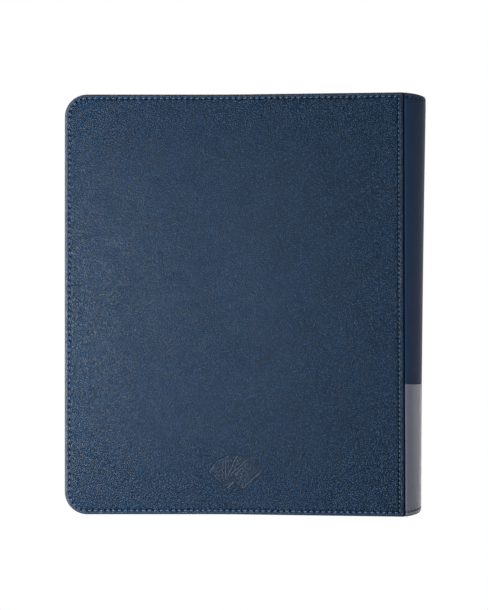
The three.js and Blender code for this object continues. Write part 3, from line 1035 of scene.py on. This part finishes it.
def build_flanges():
    """The stack of leaf flanges."""
    low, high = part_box("page_flange_block")
    leaves = [name for name in frame["nodes"] if name.startswith("leaf_")]
    pitch = (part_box("leaf_20")[0].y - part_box("leaf_01")[0].y) / (len(leaves) - 1)
    half = pitch * FLANGE_SHARE
    points, faces = [], []
    for leaf in sorted(leaves):
        leaf_low, leaf_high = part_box(leaf)
        middle = (leaf_low.y + leaf_high.y) / 2
        start_x = leaf_high.x + FLANGE_GAP
        outer = [(high.x, half * 0.7), (high.x - 0.3 * MM, half)]
        edge = outer + [(start_x + 0.5 * MM, half), (start_x, half * 0.4)]
        outline = edge + [(x, -y) for x, y in reversed(edge)]
        faces += shifted(tube_faces(2, len(outline)), len(points))
        for z in (low.z, high.z):
            points.extend((x, middle + y, z) for x, y in outline)
    block = add_mesh("leaf_flanges", points, faces, LEAF_SHEET)
    settle(block, "spine", "leaf_plastic", "page_flange_block")


def build_binding_tape():
    """The woven tape round the flanges, and its two runs of stitches."""
    low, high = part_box("page_flange_block")
    tape_low, tape_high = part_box("page_binding_tape")
    inner = high.y + TAPE_GAP
    base_x = high.x + TAPE_GAP
    half = [
        (tape_low.x + 0.2 * MM, inner),
        (base_x - 2.5 * MM, inner),
        (base_x - 0.2 * MM, inner + 0.1 * MM),
        (base_x + 3.5 * MM, inner + 1.5 * MM),
        (tape_high.x - 0.2 * MM, tape_high.y - 0.5 * MM),
    ]
    for side, sign in SIDES.items():
        path = rounded_path(half) * np.array([1, sign])
        name = f"{side}_binding_wing"
        wing = build_strip(name, path, TAPE_THICKNESS, low.z, high.z, BINDING_CLOTH, TAPE_LEVELS)
        settle(wing, "spine", "binding_cloth", "page_binding_tape")
    back_path = rounded_path([(base_x, y * MM) for y in (-12.6, -8, -3, 3, 8, 12.6)])
    name = "binding_tape_back"
    back = build_strip(name, back_path, TAPE_THICKNESS, low.z, high.z, BINDING_CLOTH, TAPE_LEVELS)
    settle(back, "spine", "binding_cloth")

    for side, sign in SIDES.items():
        stitch_low, stitch_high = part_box(f"{side}_binding_thread")
        x = (stitch_low.x + stitch_high.x) / 2
        count = round((stitch_high.z - stitch_low.z) / EDGE_PITCH)
        step = (stitch_high.z - stitch_low.z) / count
        row = []
        for index in range(count):
            centre = Vector((x, sign * (inner + 0.42 * MM), stitch_low.z + (index + 0.5) * step))
            row.append((centre, Vector((0, 0, 1)), Vector((0, sign, 0)), step * 0.75))
        piece = build_stitches(f"{side}_binding_stitches", row, DARK_THREAD, 0.35 * MM, 6.0, 0.3 * MM)
        settle(piece, "spine", "dark_thread", f"{side}_binding_thread")


# ---- Leaves ----

POCKET_ROWS = 3
POCKET_COLUMNS = 3
LEAF_FLANGE = 10 * MM
WELD = 2.2 * MM
LEAF_CORNER = 4 * MM
LEAF_ROOT = 1 * MM  # the sheet goes this far past its CAD node, into its flange
ROOT_STEPS = (6, 4, 3, 2, 1, 0.4, 0)  # rows of points near the root, in millimetres from the node's edge
SHEET_HALF = 0.1 * MM
FILM_THICKNESS = 0.05 * MM
FILM_SWELL = 0.11 * MM
FILM_GAP = 0.01 * MM


def build_leaf_sheet(name, low, high):
    """The black middle sheet, with rounded fore corners and extra points near its root."""
    middle = (low.y + high.y) / 2
    root = high.x + LEAF_ROOT
    centre = low.x + LEAF_CORNER
    turns = [(LEAF_CORNER * math.sin(t), LEAF_CORNER * math.cos(t)) for t in np.linspace(0, math.pi / 2, 5)]
    edge = [(root, low.z), (root, high.z)]
    top = [(centre - sine, high.z - LEAF_CORNER + cosine) for sine, cosine in turns]
    bottom = [(centre - cosine, low.z + LEAF_CORNER - sine) for sine, cosine in turns]
    stations = [high.x - step * MM for step in ROOT_STEPS]
    top_run = [(x, high.z) for x in reversed(stations)]
    bottom_run = [(x, low.z) for x in stations]
    outline = np.array(edge + top_run + top + bottom + bottom_run)
    inner = np.array([(x, z) for x in stations for z in np.linspace(low.z, high.z, 9)[1:-1]])
    size = len(outline)
    flat = np.vstack([outline, inner])
    cap = filled(outline, inner)
    count = len(flat)
    points = [(x, middle + sign * SHEET_HALF, z) for sign in (BACK, FRONT) for x, z in flat]
    faces = cap + shifted(cap, count)
    for corner in range(size):
        after = (corner + 1) % size
        faces.append((corner, after, after + count, corner + count))
    return add_mesh(f"{name}_sheet", points, faces, LEAF_SHEET)


def swell_profile(length, open_end):
    """(distance, swell from 0 to 1) across a pocket, welded at the start and welded or open at the end."""
    rise = [(0.0, 0.0), (0.8 * MM, 0.2), (3 * MM, 0.75), (length * 0.3, 0.97)]
    fall = [(length - distance, swell) for distance, swell in reversed(rise[:3])]
    if open_end:
        fall = [(length - 4 * MM, 0.85), (length - 0.8 * MM, 0.9), (length, 1.0)]
    return [*rise, (length * 0.6, 1.0), *fall]


def film_pocket(left, low, width, height, middle, sign):
    """The points and faces of one pocket's film: a closed sheet, open for cards at its spine side."""
    across = swell_profile(width, True)
    up = swell_profile(height, False)
    points = []
    for layer in (0, 1):
        for z, row_swell in up:
            for x, swell in across:
                lift = SHEET_HALF + FILM_GAP + FILM_SWELL * swell * row_swell + layer * FILM_THICKNESS
                points.append((left + x, middle + sign * lift, low + z))
    columns, rows = len(across), len(up)
    grid = columns * rows
    faces = loop_faces(rows, columns, closed=False)
    faces += shifted(faces, grid)
    rim = list(range(columns)) + [row * columns + columns - 1 for row in range(1, rows)]
    rim += list(reversed(range((rows - 1) * columns, rows * columns - 1)))
    rim += [row * columns for row in reversed(range(1, rows - 1))]
    for here, there in zip(rim, rim[1:] + rim[:1]):
        faces.append((here, there, grid + there, grid + here))
    return points, faces


def build_leaf_films(name, low, high):
    """The clear pockets on both faces, in three rows and three columns."""
    middle = (low.y + high.y) / 2
    left = low.x + WELD
    column = (high.x - LEAF_FLANGE - left) / POCKET_COLUMNS
    row = (high.z - low.z) / POCKET_ROWS
    points, faces = [], []
    for sign in (BACK, FRONT):
        for index in range(POCKET_COLUMNS * POCKET_ROWS):
            start_x = left + (index % POCKET_COLUMNS) * column
            start_z = low.z + (index // POCKET_COLUMNS) * row + WELD / 2
            made, around = film_pocket(start_x, start_z, column - WELD, row - WELD, middle, sign)
            faces += shifted(around, len(points))
            points.extend(made)
    return add_mesh(f"{name}_pockets", points, faces, CLEAR_FILM, 80.0)


def build_leaves():
    for name in sorted(frame["nodes"]):
        if not name.startswith("leaf_"):
            continue
        low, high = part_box(name)
        sheet = build_leaf_sheet(name, low, high)
        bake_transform(sheet)
        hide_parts(name)
        pockets = build_leaf_films(name, low, high)
        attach(pockets, name)


def finish_cad_nodes():
    """Materials for the CAD nodes that stay: the boards inside the covers and the spine's stiffener."""
    for side in SIDES:
        frame["nodes"][f"{side}_cover_board"].data.materials[0] = GREYBOARD
    frame["nodes"]["spine_stiffener"].data.materials[0] = STIFFENER


# ---- Camera, light and floor ----

CAMERA_DISTANCE = 620 * MM  # from the flat part of the back cover
CAMERA_X = -2.5 * MM
CAMERA_Z = 170 * MM
LENS = 48.9
SHIFT_Y = -0.0284
AMBIENT = 0.15  # the strength of the light from all sides
COOL = (0.93, 0.97, 1.0)  # the colour of the key light
FLOOR_HALF = 6.0
FLOOR_DROP = 0.02 * MM  # the floor is this far below the object, so that the two don't coincide


def add_camera():
    data = bpy.data.cameras.new("camera")
    data.lens = LENS
    data.sensor_width = 36
    data.shift_y = SHIFT_Y
    data.clip_start = 0.01
    camera = add_object("camera", data, (CAMERA_X, -FLAT_Y - CAMERA_DISTANCE, CAMERA_Z))
    camera.rotation_euler = (math.pi / 2, 0, 0)
    bpy.context.scene.camera = camera


def add_softbox(name, place, target, width, height, power, colour=(1.0, 1.0, 1.0)):
    data = bpy.data.lights.new(name, "AREA")
    data.shape = "RECTANGLE"
    data.size = width
    data.size_y = height
    data.energy = power
    data.color = colour
    direction = Vector(target) - Vector(place)
    add_object(name, data, place).rotation_euler = direction.to_track_quat("-Z", "Y").to_euler()


def add_studio():
    world = bpy.data.worlds.new("studio")
    bpy.context.scene.world = world
    world.use_nodes = True
    nodes, links = world.node_tree.nodes, world.node_tree.links
    backdrop = nodes["Background"]
    backdrop.inputs["Color"].default_value = (1, 1, 1, 1)
    backdrop.inputs["Strength"].default_value = 1.0
    ambient = nodes.new("ShaderNodeBackground")
    ambient.inputs["Color"].default_value = (0.97, 0.98, 1.0, 1)
    ambient.inputs["Strength"].default_value = AMBIENT
    seen = nodes.new("ShaderNodeLightPath")
    choose = nodes.new("ShaderNodeMixShader")
    links.new(seen.outputs["Is Camera Ray"], choose.inputs["Fac"])
    links.new(ambient.outputs[0], choose.inputs[1])
    links.new(backdrop.outputs[0], choose.inputs[2])
    links.new(choose.outputs[0], nodes["World Output"].inputs["Surface"])
    add_softbox("key_left", (-0.49, -0.572, 0.115), (-0.1, 0, 0.13), 0.39, 0.06, 10.4, COOL)
    add_softbox("side_right", (0.95, 0.1, 0.15), (SPINE_OUT_X, 0, HEIGHT / 2), 0.5, 0.8, 3.6)
    add_softbox("rim_right", (0.65, 0.65, 0.1), (SPINE_OUT_X, 0, 0.1), 0.4, 1.0, 3.3)
    add_softbox("back_fill", (-0.3, 1.1, 0.8), (0, 0, HEIGHT / 2), 1.0, 1.0, 10)
    corners = [(x * FLOOR_HALF, y * FLOOR_HALF, -FLOOR_DROP) for x, y in ((-1, -1), (1, -1), (1, 1), (-1, 1))]
    floor = add_object("floor", bpy.data.meshes.new("floor"))
    floor.data.from_pydata(corners, [], [(0, 1, 2, 3)])
    floor.visible_diffuse = False
    floor.visible_glossy = False
    floor.visible_shadow = False
    shader = Shader("white_floor", 1.0, 0.0)
    shader.set(Base_Color=(0, 0, 0), Emission_Color=(1, 1, 1), Emission_Strength=1.0)
    floor.data.materials.append(shader.material)
    bpy.context.scene.view_settings.view_transform = "Standard"


add_camera()
add_studio()
for cover in SIDES:
    build_skin(cover)
    build_foam(cover)
    build_lining(cover)
    build_cover_thread(cover)
build_wrap()
build_band()
build_spine_lining()
build_spine_row("spine_top_stitches", HEIGHT - STITCH_INSET, NAVY_THREAD, "blue_thread", "spine_top_thread")
build_spine_row(
    "spine_bottom_stitches", STITCH_INSET, DARK_THREAD, "dark_thread", "spine_bottom_thread", BAND_PROUD
)
build_creases()
build_hinge_cloths()
build_flanges()
build_binding_tape()
build_leaves()
finish_cad_nodes()
